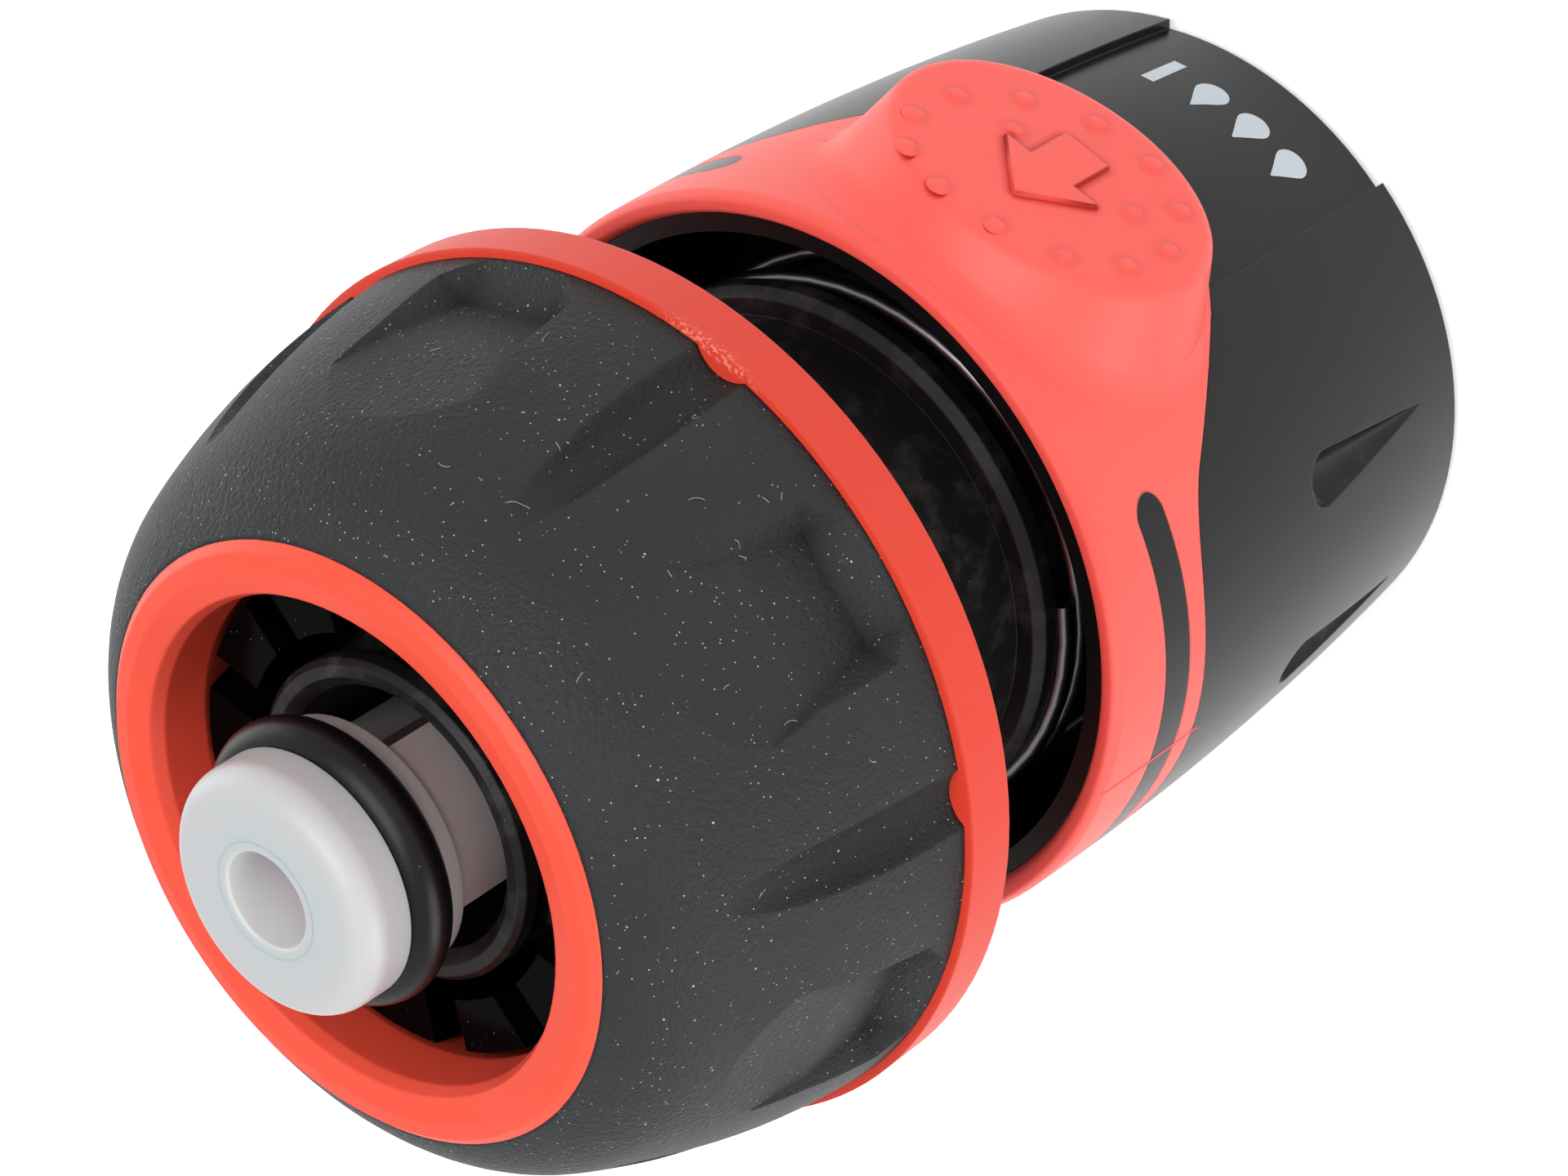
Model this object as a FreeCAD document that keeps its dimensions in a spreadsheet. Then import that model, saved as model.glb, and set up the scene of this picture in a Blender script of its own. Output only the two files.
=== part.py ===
"""Garden hose quick connector with a water stop, in millimetres.

The connector stands on its coupling end. The origin is the centre of that end face and +Z runs
up the axis to the hose nut. One thumb pad of the release sleeve faces -Y, the other +Y.
"""
import FreeCAD, Part
import math
import os

import Sketcher

doc = FreeCAD.newDocument("hose_connector")

# Driving dimensions: radii are from the axis, lengths along it, heights from the coupling end face.
SIZES = {
    # connector body: hose tail, threaded cup, shaft, flange and coupling socket, one moulding
    "tail_radius": 6.55,
    "tail_wall": 1.2,
    "tail_rise": 6.95,
    "tail_lip_width": 0.9,
    "tail_lip_bevel": 0.25,
    "barb_depth": 0.45,
    "barb_pitch": 2.9,
    "barb_flat": 0.4,
    "seat_chamfer": 0.5,
    "cup_radius": 9.9,
    "cup_depth": 5.0,
    "cup_floor_wall": 3.8,
    "thread_wall": 1.1,
    "thread_length": 6.6,
    "shaft_wall": 0.6,
    "shaft_length": 10.7,
    "flange_reach": 1.05,
    "flange_top_height": 25.5,
    "flange_thickness": 1.1,
    "flange_bevel": 0.4,
    "socket_bore": 8.9,
    "socket_wall": 1.7,
    "socket_depth": 16.0,
    "socket_chamfer": 0.4,
    "socket_land": 3.6,
    "socket_relief": 0.2,
    "nose_step": 1.25,
    "nose_lead_in": 0.8,
    "valve_tube_wall": 1.55,
    "valve_tube_foot": 24.0,
    # retaining ring snapped on the coupling end
    "ring_height": 1.8,
    "ring_inset": 1.3,
    "ring_seat_wall": 1.1,
    "ring_fit": 0.03,
    "ring_chamfer": 0.3,
    # locking jaws in the windows of the socket
    "jaw_middle_height": 8.0,
    "jaw_height": 4.5,
    "jaw_width": 6.0,
    "jaw_bite": 1.0,
    "jaw_nose_bevel": 0.8,
    "jaw_back_reach": 1.2,
    "jaw_ear_width": 8.0,
    "jaw_ear_inset": 0.25,
    "jaw_clearance": 0.15,
    "jaw_headroom": 0.75,
    "cam_slope": 0.2,
    "cam_clearance": 0.3,
    # release sleeve, hard black shell
    "sleeve_bottom_height": 0.5,
    "sleeve_taper": 1.07,
    "sleeve_arc_rise": 0.455,
    "sleeve_wall": 1.77,
    "sleeve_spring_gap": 2.1,
    "shell_top_height": 26.0,
    "shelf_thickness": 2.5,
    "guide_clearance": 0.3,
    "stop_gap": 0.02,
    "panel_depth": 0.42,
    "panel_angle": 46.6,
    "dent_head_height": 11.3,
    "dent_head_radius": 1.35,
    "dent_length": 7.9,
    "dent_head_lift": 0.32,
    "dent_tail_lift": 0.33,
    "dent_angle": 57.0,
    "dent_step_angle": 33.0,
    # release sleeve, soft red band with two thumb pads, placed by its drop from the shell's top
    "band_wall": 0.97,
    "band_lip_height": 0.5,
    "band_lip_width": 0.4,
    "band_lip_shoulder": 0.15,
    "band_lip_shoulder_height": 0.35,
    "band_edge_drop": 6.4,
    "band_edge_arc_rise": 1.2,
    "band_shoulder_half_width": 11.0,
    "band_shoulder_drop": 6.6,
    "band_dip_half_width": 7.4,
    "band_dip_drop": 10.6,
    "band_dip_arc_rise": 3.38,
    "pad_rise": 1.93,
    "pad_drop": 7.5,
    "pad_half_width": 7.05,
    "pad_half_length": 5.5,
    "pad_foot_sink": 3.07,
    "pad_foot_drop": 6.65,
    "pad_foot_half_width": 8.7,
    "pad_foot_half_length": 7.65,
    "pad_rim_radius": 0.7,
    "stripe_reach": 11.3,
    "stripe_drop": 3.05,
    "stripe_width": 1.6,
    "stripe_arc_rise": 0.63,
    "stripe_end_arc_rise": 0.6,
    # sleeve spring
    "wire_diameter": 0.9,
    "spring_turns": 4.0,
    "spring_gap": 0.6,
    "spring_seat_gap": 0.03,
    # hose nut, hard red core
    "nut_length": 15.9,
    "nut_overhang": 2.05,
    "nut_flange_thickness": 2.5,
    "nut_flange_radius": 18.1,
    "nut_flange_bevel": 0.3,
    "nut_mouth_radius": 9.9,
    "nut_mouth_drop": 0.35,
    "nut_mouth_shoulder": 0.25,
    "nut_mouth_shoulder_rise": 0.2,
    "nut_ring_width": 2.25,
    "nut_ring_depth": 1.5,
    "nut_ring_shoulder": 0.35,
    "nut_ring_shoulder_rise": 0.33,
    "nut_crest_inset": 1.05,
    "nut_crest_rise": 0.45,
    "nut_throat_depth": 2.4,
    "nut_cone_depth": 7.5,
    "nut_thread_clearance": 0.3,
    "nut_shoulder_depth": 5.2,
    "nut_entry_chamfer": 0.6,
    # hose nut, soft black grip
    "grip_nose_radius": 15.1,
    "grip_nose_wall": 0.6,
    "grip_nose_depth": 3.0,
    "grip_nose_arc_rise": 0.385,
    "grip_back_radius": 17.75,
    "grip_back_wall": 1.75,
    "grip_back_arc_rise": 0.445,
    "grip_pattern_count": 6.0,
    "scoop_side_slope": 1.15,
    "scoop_sink": 1.38,
    "scoop_front_depth": 3.6,
    "scoop_front_lift": 0.35,
    "scoop_front_half_width": 4.2,
    "scoop_middle_depth": 8.5,
    "scoop_middle_half_width": 2.9,
    "scoop_back_depth": 12.0,
    "scoop_back_half_width": 2.25,
    "scoop_wall_run": 1.3,
    "scoop_wall_half_width": 2.0,
    "groove_front_depth": 2.2,
    "groove_front_sink": 0.1,
    "groove_front_round": 1.15,
    "groove_back_sink": 0.57,
    "groove_back_round": 1.6,
    # clamping collet
    "collet_clearance": 0.25,
    "collet_gap": 0.3,
    "collet_wall": 1.55,
    "collet_base_height": 1.2,
    "hose_gap": 0.9,
    "finger_tip_land": 0.9,
    "finger_slot_width": 1.65,
    "finger_slot_foot": 0.5,
    "finger_count": 12.0,
    "collet_turn": 5.0,
    # water stop valve
    "valve_rise": 6.35,
    "valve_head_inset": 0.35,
    "valve_head_height": 2.25,
    "valve_head_round": 1.1,
    "valve_hole_radius": 2.35,
    "valve_hole_taper": 0.25,
    "valve_hole_depth": 3.4,
    "valve_neck_inset": 1.55,
    "valve_flange_inset": 0.25,
    "valve_flange_height": 0.65,
    "seal_section": 1.9,
    "seal_fit": 0.05,
    "leg_clearance": 0.45,
    "leg_thickness": 1.5,
    "leg_angle": 82.0,
    "foot_inset": 0.6,
    "foot_height": 1.2,
    "foot_slope": 0.5,
    "foot_gap": 0.3,
    "valve_turn": -128.0,
    # how far a cutting outline runs past what it cuts
    "cut_margin": 1.0,
    "cut_reach": 4.0,
}
JAW_COUNT = 4
BARB_COUNT = 3
DENTS_PER_SIDE = 3
WIRE_SIDES = 8
SAME_PLACE = 0.01

# What the pieces share or take from one another, worked out from the driving dimensions
FITS = {
    "barrel_radius": "dim.socket_bore + dim.socket_wall",
    "flange_radius": "barrel_radius + dim.flange_reach",
    "nose_bore": "dim.socket_bore - dim.nose_step",
    "neck_radius": "dim.cup_radius + dim.shaft_wall",
    "thread_radius": "dim.cup_radius + dim.thread_wall",
    "thread_bottom_height": "dim.flange_top_height + dim.shaft_length",
    "thread_top_height": "thread_bottom_height + dim.thread_length",
    "cup_floor_height": "thread_top_height - dim.cup_depth",
    "core_top_height": "cup_floor_height - dim.cup_floor_wall",
    "tail_mouth_height": "thread_top_height + dim.tail_rise",
    "tail_bore": "dim.tail_radius - dim.tail_wall",
    "valve_tube_radius": "tail_bore + dim.valve_tube_wall",
    "ring_seat_radius": "dim.socket_bore + dim.ring_seat_wall",
    "spring_radius": "barrel_radius + dim.spring_gap + dim.wire_diameter / 2",
    "cavity_radius": "spring_radius + dim.wire_diameter / 2 + dim.sleeve_spring_gap",
    "sleeve_top_radius": "cavity_radius + dim.sleeve_wall",
    "sleeve_bottom_radius": "sleeve_top_radius - dim.sleeve_taper",
    "ring_radius": "sleeve_bottom_radius - dim.ring_inset",
    "jaw_tip_radius": "dim.socket_bore - dim.jaw_bite",
    "jaw_cam_radius": "barrel_radius + dim.jaw_back_reach",
    "jaw_ear_distance": "barrel_radius - dim.jaw_ear_inset",
    "shelf_foot_height": "dim.jaw_middle_height + dim.jaw_height / 2 + dim.jaw_headroom",
    "shelf_height": "shelf_foot_height + dim.shelf_thickness",
    "band_inner_radius": "sleeve_top_radius - dim.band_wall",
    "band_edge_height": "dim.shell_top_height - dim.band_edge_drop",
    "band_shoulder_height": "dim.shell_top_height - dim.band_shoulder_drop",
    "band_dip_height": "dim.shell_top_height - dim.band_dip_drop",
    "stripe_height": "dim.shell_top_height - dim.stripe_drop",
    "pad_distance": "sleeve_top_radius + dim.pad_rise",
    "pad_height": "dim.shell_top_height - dim.pad_drop",
    "pad_foot_distance": "sleeve_top_radius - dim.pad_foot_sink",
    "pad_foot_height": "dim.shell_top_height - dim.pad_foot_drop",
    "nut_front_height": "tail_mouth_height + dim.nut_overhang",
    "nut_bottom_height": "nut_front_height - dim.nut_length",
    "nut_flange_height": "nut_bottom_height + dim.nut_flange_thickness",
    "nut_bore": "thread_radius + dim.nut_thread_clearance",
    "nut_ring_radius": "dim.nut_mouth_radius + dim.nut_ring_width",
    "nut_crest_radius": "nut_ring_radius - dim.nut_crest_inset",
    "nut_shoulder_radius": "dim.grip_nose_radius - dim.grip_nose_wall",
    "nut_barrel_radius": "dim.grip_back_radius - dim.grip_back_wall",
    "scoop_front_radius": "dim.grip_nose_radius + dim.scoop_front_lift",
    "scoop_floor_radius": "dim.grip_back_radius - dim.scoop_sink",
    "groove_front_radius": "dim.grip_nose_radius - dim.groove_front_sink",
    "groove_back_radius": "dim.grip_back_radius - dim.groove_back_sink",
    "collet_radius": "nut_bore - dim.collet_clearance",
    "collet_bore": "collet_radius - dim.collet_wall",
    "finger_tip_radius": "dim.tail_radius + dim.hose_gap",
    "valve_top_height": "tail_mouth_height + dim.valve_rise",
    "valve_head_radius": "tail_bore - dim.valve_head_inset",
    "valve_neck_radius": "tail_bore - dim.valve_neck_inset",
    "valve_flange_radius": "tail_bore - dim.valve_flange_inset",
    "leg_radius": "tail_bore - dim.leg_clearance",
    "foot_radius": "valve_tube_radius - dim.foot_inset",
}


def add_sheet(name, cells):
    """A spreadsheet with a name and an aliased value in each row."""
    added = doc.addObject("Spreadsheet::Sheet", name)
    for row, (alias, content) in enumerate(cells.items(), start=1):
        added.set("A%d" % row, alias.replace("_", " "))
        added.set("B%d" % row, content)
        added.setAlias("B%d" % row, alias)
    doc.recompute()
    return added


sheet = add_sheet("dim", {alias: str(value) for alias, value in SIZES.items()})
add_sheet("fit", {alias: "=" + formula for alias, formula in FITS.items()})

UP = FreeCAD.Vector(0, 0, 1)
CENTRE = FreeCAD.Vector(0, 0, 0)


def value_of(expression):
    """The number that an expression over the sheet gives now."""
    return float(sheet.evalExpression(expression))


def origin_item(body, role):
    return [item for item in body.Origin.OriginFeatures if item.Role == role][0]


def add_body(label):
    return doc.addObject("PartDesign::Body", label)


def add_sketch(body, name, plane, offset=None, turn=None):
    """A sketch on an origin plane of the body, moved along its normal or turned about its Y."""
    sketch = body.newObject("Sketcher::SketchObject", name)
    sketch.AttachmentSupport = (origin_item(body, plane), [""])
    sketch.MapMode = "FlatFace"
    if offset:
        sketch.setExpression("AttachmentOffset.Base.z", offset)
    if turn:
        sketch.AttachmentOffset = FreeCAD.Placement(CENTRE, FreeCAD.Rotation(FreeCAD.Vector(0, 1, 0), 1))
        sketch.setExpression("AttachmentOffset.Rotation.Angle", turn)
    return sketch


def arc_between(start, end, bulge):
    """An arc that leaves its chord by a bulge: a positive one is to the right of the way it runs."""
    chord = end - start
    left = FreeCAD.Vector(-chord.y, chord.x, 0).normalize()
    radius = chord.Length * chord.Length / (8 * abs(bulge)) + abs(bulge) / 2
    side = 1 if bulge > 0 else -1
    centre = (start + end) * 0.5 + left * (side * radius - bulge)
    first, last = (start, end) if side > 0 else (end, start)
    from_angle = math.atan2(first.y - centre.y, first.x - centre.x)
    to_angle = math.atan2(last.y - centre.y, last.x - centre.x)
    return Part.ArcOfCircle(Part.Circle(centre, UP, radius), from_angle, to_angle)


def bulge_radius(point, next_point):
    """The radius of the arc from a point (x, y, bulge) to the next, as an expression."""
    run = "((%s) - (%s))^2 + ((%s) - (%s))^2" % (next_point[0], point[0], next_point[1], point[1])
    return "(%s) / (8 * abs(%s)) + abs(%s) / 2" % (run, point[2], point[2])


def quarter_bulge(radius):
    """The bulge of a quarter circle."""
    return "%s * (1 - sqrt(0.5))" % radius


def bind_point(sketch, edge, end, point):
    """Fix one end of an edge at a point given by two expressions."""
    for kind, expression in zip(("DistanceX", "DistanceY"), point):
        number = value_of(expression)
        index = sketch.addConstraint(Sketcher.Constraint(kind, -1, 1, edge, end, number))
        sketch.setExpression("Constraints[%d]" % index, expression)


def draw_outline(sketch, points):
    """A closed outline. A point is (x, y) or (x, y, bulge), which bends the edge that leaves it."""
    places = [FreeCAD.Vector(value_of(point[0]), value_of(point[1]), 0) for point in points]
    edges = []
    for index, point in enumerate(points):
        start = places[index]
        end = places[(index + 1) % len(points)]
        if len(point) == 2:
            edge = sketch.addGeometry(Part.LineSegment(start, end), False)
            edges.append((edge, 1, 2))
            continue
        bulge = value_of(point[2])
        edge = sketch.addGeometry(arc_between(start, end, bulge), False)
        radius = bulge_radius(point, points[(index + 1) % len(points)])
        bend = sketch.addConstraint(Sketcher.Constraint("Radius", edge, value_of(radius)))
        sketch.setExpression("Constraints[%d]" % bend, radius)
        edges.append((edge, 1, 2) if bulge > 0 else (edge, 2, 1))
    for index, (edge, near_end, far_end) in enumerate(edges):
        next_edge, next_near, next_far = edges[(index + 1) % len(edges)]
        sketch.addConstraint(Sketcher.Constraint("Coincident", edge, far_end, next_edge, next_near))
        bind_point(sketch, edge, near_end, points[index])


def turned(body, name, points, kind="PartDesign::Revolution", plane="XZ_Plane", turn=None, angle=None):
    """Turn an outline of (radius, height) expressions about the Z axis, to add or to cut."""
    sketch = add_sketch(body, name + "_outline", plane, turn=turn)
    draw_outline(sketch, points)
    feature = body.newObject(kind, name)
    feature.Profile = sketch
    feature.ReferenceAxis = (sketch, ["V_Axis"])
    feature.Angle = 360
    if angle:
        feature.Midplane = True
        feature.setExpression("Angle", angle)
    return feature


def turned_cut(body, name, points, **options):
    return turned(body, name, points, kind="PartDesign::Groove", **options)


def cut_about_line(body, name, points, start, end, plane="XZ_Plane", turn=None):
    """Cut with an outline turned about its own line from start to end."""
    sketch = add_sketch(body, name + "_outline", plane, turn=turn)
    draw_outline(sketch, points)
    ends = [FreeCAD.Vector(value_of(point[0]), value_of(point[1]), 0) for point in (start, end)]
    line = sketch.addGeometry(Part.LineSegment(ends[0], ends[1]), True)
    bind_point(sketch, line, 1, start)
    bind_point(sketch, line, 2, end)
    feature = body.newObject("PartDesign::Groove", name)
    feature.Profile = sketch
    feature.ReferenceAxis = (sketch, ["Axis0"])
    feature.Angle = 360
    return feature


def cut_through(body, name, plane, points):
    """Cut an outline right through the body, both ways from an origin plane."""
    sketch = add_sketch(body, name + "_outline", plane)
    draw_outline(sketch, points)
    feature = body.newObject("PartDesign::Pocket", name)
    feature.Profile = sketch
    feature.Type = "ThroughAll"
    feature.Midplane = True
    return feature


def polar_copies(body, name, features, count):
    """Repeat features all round the Z axis."""
    pattern = body.newObject("PartDesign::PolarPattern", name)
    pattern.Originals = features
    pattern.Axis = (origin_item(body, "Z_Axis"), [""])
    pattern.Angle = 360
    if isinstance(count, str):
        pattern.setExpression("Occurrences", count)
    else:
        pattern.Occurrences = count
    body.Tip = pattern
    return pattern


def rectangle(left, right, bottom, top):
    return [(left, bottom), (right, bottom), (right, top), (left, top)]


def turn_about_axis(body, angle):
    body.Placement = FreeCAD.Placement(CENTRE, FreeCAD.Rotation(UP, 1))
    body.setExpression("Placement.Rotation.Angle", angle)


def make_connector_body():
    """Hose tail with barbs, threaded cup, neck, spring flange and socket with four windows."""
    body = add_body("connector_body")
    flange_bottom = "dim.flange_top_height - dim.flange_thickness"
    valley = "dim.tail_radius - dim.barb_depth"
    socket_end = [
        ("dim.socket_bore + dim.socket_chamfer", "0"),
        ("fit.ring_seat_radius", "0"),
        ("fit.ring_seat_radius", "dim.ring_height"),
        ("fit.barrel_radius", "dim.ring_height"),
    ]
    flange_and_neck = [
        ("fit.barrel_radius", flange_bottom),
        ("fit.flange_radius", flange_bottom),
        ("fit.flange_radius", "dim.flange_top_height - dim.flange_bevel"),
        ("fit.flange_radius - dim.flange_bevel", "dim.flange_top_height"),
        ("fit.neck_radius", "dim.flange_top_height"),
        ("fit.neck_radius", "fit.thread_bottom_height"),
        ("fit.thread_radius", "fit.thread_bottom_height"),
        ("fit.thread_radius", "fit.thread_top_height"),
        ("dim.cup_radius", "fit.thread_top_height"),
        ("dim.cup_radius", "fit.cup_floor_height"),
        (valley, "fit.cup_floor_height"),
    ]
    lip_foot = "fit.tail_mouth_height - dim.tail_lip_width"
    barbs = []
    for number in range(BARB_COUNT, 0, -1):
        barb_foot = "%s - %d * dim.barb_pitch" % (lip_foot, number)
        barbs.append((valley, barb_foot))
        barbs.append(("dim.tail_radius", barb_foot))
        barbs.append(("dim.tail_radius", barb_foot + " + dim.barb_flat"))
        barbs.append((valley, barb_foot + " + dim.barb_pitch - dim.barb_flat"))
    tail_mouth = [
        (valley, lip_foot),
        ("dim.tail_radius", lip_foot),
        ("dim.tail_radius", "fit.tail_mouth_height - dim.tail_lip_bevel"),
        ("dim.tail_radius - dim.tail_lip_bevel", "fit.tail_mouth_height"),
        ("fit.tail_bore + dim.seat_chamfer", "fit.tail_mouth_height"),
        ("fit.tail_bore", "fit.tail_mouth_height - dim.seat_chamfer"),
    ]
    inside = [
        ("fit.tail_bore", "dim.valve_tube_foot"),
        ("fit.valve_tube_radius", "dim.valve_tube_foot"),
        ("fit.valve_tube_radius", "fit.core_top_height"),
        ("fit.nose_bore", "fit.core_top_height"),
        ("fit.nose_bore", "dim.socket_depth + dim.nose_lead_in"),
        ("fit.nose_bore + dim.nose_lead_in", "dim.socket_depth"),
        ("dim.socket_bore + dim.socket_relief", "dim.socket_depth"),
        ("dim.socket_bore + dim.socket_relief", "dim.socket_chamfer + dim.socket_land"),
        ("dim.socket_bore", "dim.socket_chamfer + dim.socket_land"),
        ("dim.socket_bore", "dim.socket_chamfer"),
    ]
    turned(body, "barrel", socket_end + flange_and_neck + barbs + tail_mouth + inside)
    half_width = "(dim.jaw_width / 2 + dim.jaw_clearance)"
    half_height = "(dim.jaw_height / 2 + dim.jaw_clearance)"
    window = rectangle(
        "-" + half_width,
        half_width,
        "dim.jaw_middle_height - " + half_height,
        "dim.jaw_middle_height + " + half_height,
    )
    cut_through(body, "windows_front_back", "XZ_Plane", window)
    cut_through(body, "windows_left_right", "YZ_Plane", window)


def make_retaining_ring():
    """Ring on the coupling end that the sleeve is pushed against by its spring."""
    body = add_body("retaining_ring")
    bore = "fit.ring_seat_radius + dim.ring_fit"
    turned(body, "ring", [
        (bore, "0"),
        ("fit.ring_radius - dim.ring_chamfer", "0"),
        ("fit.ring_radius", "dim.ring_chamfer"),
        ("fit.ring_radius", "dim.ring_height"),
        (bore, "dim.ring_height"),
    ])


def cam_radius(height, extra="0"):
    """Radius of the jaws' cone at a height, which falls towards the hose end."""
    return "fit.jaw_cam_radius + %s + dim.cam_slope * (dim.jaw_middle_height - (%s))" % (extra, height)


def make_jaw(number):
    """One locking jaw: a shank in its window, a bevelled nose and ears outside the wall."""
    body = add_body("jaw_%d" % (number + 1))
    bottom = "dim.jaw_middle_height - dim.jaw_height / 2"
    top = "dim.jaw_middle_height + dim.jaw_height / 2"
    nose = "fit.jaw_tip_radius - dim.cut_margin"
    back = "fit.jaw_cam_radius + dim.cut_reach"
    shank = "dim.jaw_width / 2"
    ear = "dim.jaw_ear_width / 2"
    plan = add_sketch(body, "jaw_plan_%d" % number, "XY_Plane", offset=bottom)
    draw_outline(plan, [
        (nose, "-" + shank),
        ("fit.jaw_ear_distance", "-" + shank),
        ("fit.jaw_ear_distance", "-" + ear),
        (back, "-" + ear),
        (back, ear),
        ("fit.jaw_ear_distance", ear),
        ("fit.jaw_ear_distance", shank),
        (nose, shank),
    ])
    blank = body.newObject("PartDesign::Pad", "jaw_blank_%d" % number)
    blank.Profile = plan
    blank.setExpression("Length", "dim.jaw_height")
    below = bottom + " - dim.cut_margin"
    above = top + " + dim.cut_margin"
    turned_cut(body, "jaw_cam_face_%d" % number, [
        (cam_radius(below), below),
        (back + " + dim.cut_reach", below),
        (back + " + dim.cut_reach", above),
        (cam_radius(above), above),
    ])
    turned_cut(body, "jaw_nose_%d" % number, [
        (nose + " - dim.cut_margin", below),
        ("fit.jaw_tip_radius + dim.jaw_nose_bevel + dim.cut_margin", below),
        ("fit.jaw_tip_radius", bottom + " + dim.jaw_nose_bevel"),
        ("fit.jaw_tip_radius", above),
        (nose + " - dim.cut_margin", above),
    ])
    body.Placement = FreeCAD.Placement(CENTRE, FreeCAD.Rotation(UP, number * 360 / JAW_COUNT))


def draw_ellipse(sketch, half_width, half_length, height):
    """An ellipse whose centre lies on the sketch's Y axis."""
    middle = value_of(height)
    wide_end = FreeCAD.Vector(value_of(half_width), middle, 0)
    long_end = FreeCAD.Vector(0, middle + value_of(half_length), 0)
    edge = sketch.addGeometry(Part.Ellipse(wide_end, long_end, FreeCAD.Vector(0, middle, 0)), False)
    sketch.exposeInternalGeometry(edge)
    wide_axis = edge + 1
    long_axis = edge + 2
    sketch.addConstraint(Sketcher.Constraint("PointOnObject", edge, 3, -2))
    sketch.addConstraint(Sketcher.Constraint("Horizontal", wide_axis))
    rise = sketch.addConstraint(Sketcher.Constraint("DistanceY", -1, 1, edge, 3, middle))
    sketch.setExpression("Constraints[%d]" % rise, height)
    for axis, half in ((wide_axis, half_width), (long_axis, half_length)):
        length = sketch.addConstraint(Sketcher.Constraint("Distance", axis, 2 * value_of(half)))
        sketch.setExpression("Constraints[%d]" % length, "2 * " + half)


def sleeve_side():
    """The sleeve's barrel-shaped outside, from its bottom to the shell's top."""
    return [
        ("fit.sleeve_bottom_radius", "dim.sleeve_bottom_height", "dim.sleeve_arc_rise"),
        ("fit.sleeve_top_radius", "dim.shell_top_height"),
    ]


def add_thumb_pad(body, name, side):
    """A raised oval pad with sloping walls and a rounded rim, on the -Y or the +Y side."""
    sign = "" if side > 0 else "-"
    foot = add_sketch(body, name + "_foot", "XZ_Plane", offset=sign + "fit.pad_foot_distance")
    draw_ellipse(foot, "dim.pad_foot_half_width", "dim.pad_foot_half_length", "fit.pad_foot_height")
    top = add_sketch(body, name + "_top", "XZ_Plane", offset=sign + "fit.pad_distance")
    draw_ellipse(top, "dim.pad_half_width", "dim.pad_half_length", "fit.pad_height")
    pad = body.newObject("PartDesign::AdditiveLoft", name)
    pad.Profile = foot
    pad.Sections = [top]
    doc.recompute()
    top_place = -side * value_of("fit.pad_distance")
    rim = []
    for index, edge in enumerate(pad.Shape.Edges, start=1):
        box = edge.BoundBox
        if max(abs(box.YMin - top_place), abs(box.YMax - top_place)) < SAME_PLACE:
            rim.append("Edge%d" % index)
    rounded = body.newObject("PartDesign::Fillet", name + "_rim")
    rounded.Base = (pad, rim)
    rounded.setExpression("Radius", "dim.pad_rim_radius")


def make_sleeve_band():
    """Soft red band: rounded lip, swooping lower edge, two thumb pads and two slots."""
    body = add_body("sleeve_band")
    lip_crest = "dim.shell_top_height + dim.band_lip_height"
    lip_shoulder = "dim.shell_top_height + dim.band_lip_shoulder_height"
    lip_middle = "(fit.sleeve_top_radius + fit.band_inner_radius) / 2"
    lip = [
        ("fit.sleeve_top_radius", "dim.shell_top_height"),
        ("fit.sleeve_top_radius - dim.band_lip_shoulder", lip_shoulder),
        (lip_middle + " + dim.band_lip_width / 2", lip_crest),
        (lip_middle + " - dim.band_lip_width / 2", lip_crest),
        ("fit.band_inner_radius + dim.band_lip_shoulder", lip_shoulder),
        ("fit.band_inner_radius", "dim.shell_top_height"),
    ]
    inside = [
        ("fit.cavity_radius", "dim.shell_top_height"),
        ("fit.cavity_radius", "dim.sleeve_bottom_height"),
    ]
    turned(body, "band_ring", sleeve_side()[:1] + lip + inside)
    add_thumb_pad(body, "front_pad", 1)
    add_thumb_pad(body, "back_pad", -1)
    side = "fit.sleeve_top_radius + dim.cut_margin"
    floor = "dim.sleeve_bottom_height - dim.cut_margin"
    cut_through(body, "swooping_edge", "XZ_Plane", [
        ("-(%s)" % side, floor),
        (side, floor),
        (side, "fit.band_edge_height", "dim.band_edge_arc_rise"),
        ("dim.band_shoulder_half_width", "fit.band_shoulder_height"),
        ("dim.band_dip_half_width", "fit.band_dip_height", "-dim.band_dip_arc_rise"),
        ("-dim.band_dip_half_width", "fit.band_dip_height"),
        ("-dim.band_shoulder_half_width", "fit.band_shoulder_height", "dim.band_edge_arc_rise"),
        ("-(%s)" % side, "fit.band_edge_height"),
    ])
    low = "fit.stripe_height - dim.stripe_width / 2"
    high = "fit.stripe_height + dim.stripe_width / 2"
    cut_through(body, "stripe_slots", "YZ_Plane", [
        ("-dim.stripe_reach", low, "dim.stripe_arc_rise"),
        ("dim.stripe_reach", low, "dim.stripe_end_arc_rise"),
        ("dim.stripe_reach", high, "-dim.stripe_arc_rise"),
        ("-dim.stripe_reach", high, "dim.stripe_end_arc_rise"),
    ])
    top = "dim.shell_top_height + 2 * dim.cut_margin"
    turned_cut(body, "band_bore", [
        ("fit.pad_foot_distance - dim.cut_margin", floor),
        ("fit.band_inner_radius", floor),
        ("fit.band_inner_radius", top),
        ("fit.pad_foot_distance - dim.cut_margin", top),
    ])
    return body


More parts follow.
